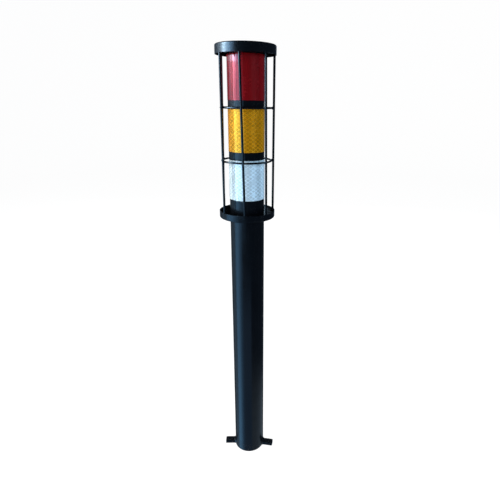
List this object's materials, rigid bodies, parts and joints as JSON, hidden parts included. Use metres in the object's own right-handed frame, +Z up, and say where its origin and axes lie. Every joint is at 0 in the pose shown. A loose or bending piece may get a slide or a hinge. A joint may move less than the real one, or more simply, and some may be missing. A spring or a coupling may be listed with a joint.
{
  "type": "delineator post",
  "caption": "Round steel delineator post with red, yellow and white reflective bands behind a wire guard, a round cap, a collar and anchor lugs at its foot.",
  "frame": {"origin": "centre of the tube's lower end, on the ground plane", "axes": "+Z up along the post, -Y towards the front, +X to the right seen from the front"},
  "size_m": [0.1299, 0.123, 1],
  "materials": {
    "black_paint": "gloss",
    "red_sheeting": "gloss retroreflective sheeting",
    "yellow_sheeting": "gloss retroreflective sheeting",
    "white_sheeting": "gloss retroreflective sheeting"
  },
  "bodies": {
    "root": {"cap_rod_welds": "black_paint", "cap_to_tube_weld": "black_paint", "collar_rod_welds": "black_paint", "collar_to_tube_weld": "black_paint", "guard_rod_1": "black_paint", "guard_rod_2": "black_paint", "guard_rod_3": "black_paint", "guard_rod_4": "black_paint", "guard_rod_5": "black_paint", "guard_rod_6": "black_paint", "guard_rod_7": "black_paint", "left_anchor_lug": "black_paint", "left_lug_weld": "black_paint", "lower_collar": "black_paint", "lower_guard_ring": "black_paint", "lower_ring_tack_welds": "black_paint", "post_tube": "black_paint", "red_reflective_band": "red_sheeting", "right_anchor_lug": "black_paint", "right_lug_weld": "black_paint", "top_cap": "black_paint", "upper_guard_ring": "black_paint", "upper_ring_tack_welds": "black_paint", "white_reflective_band": "white_sheeting", "yellow_reflective_band": "yellow_sheeting"}
  },
  "joints": []
}
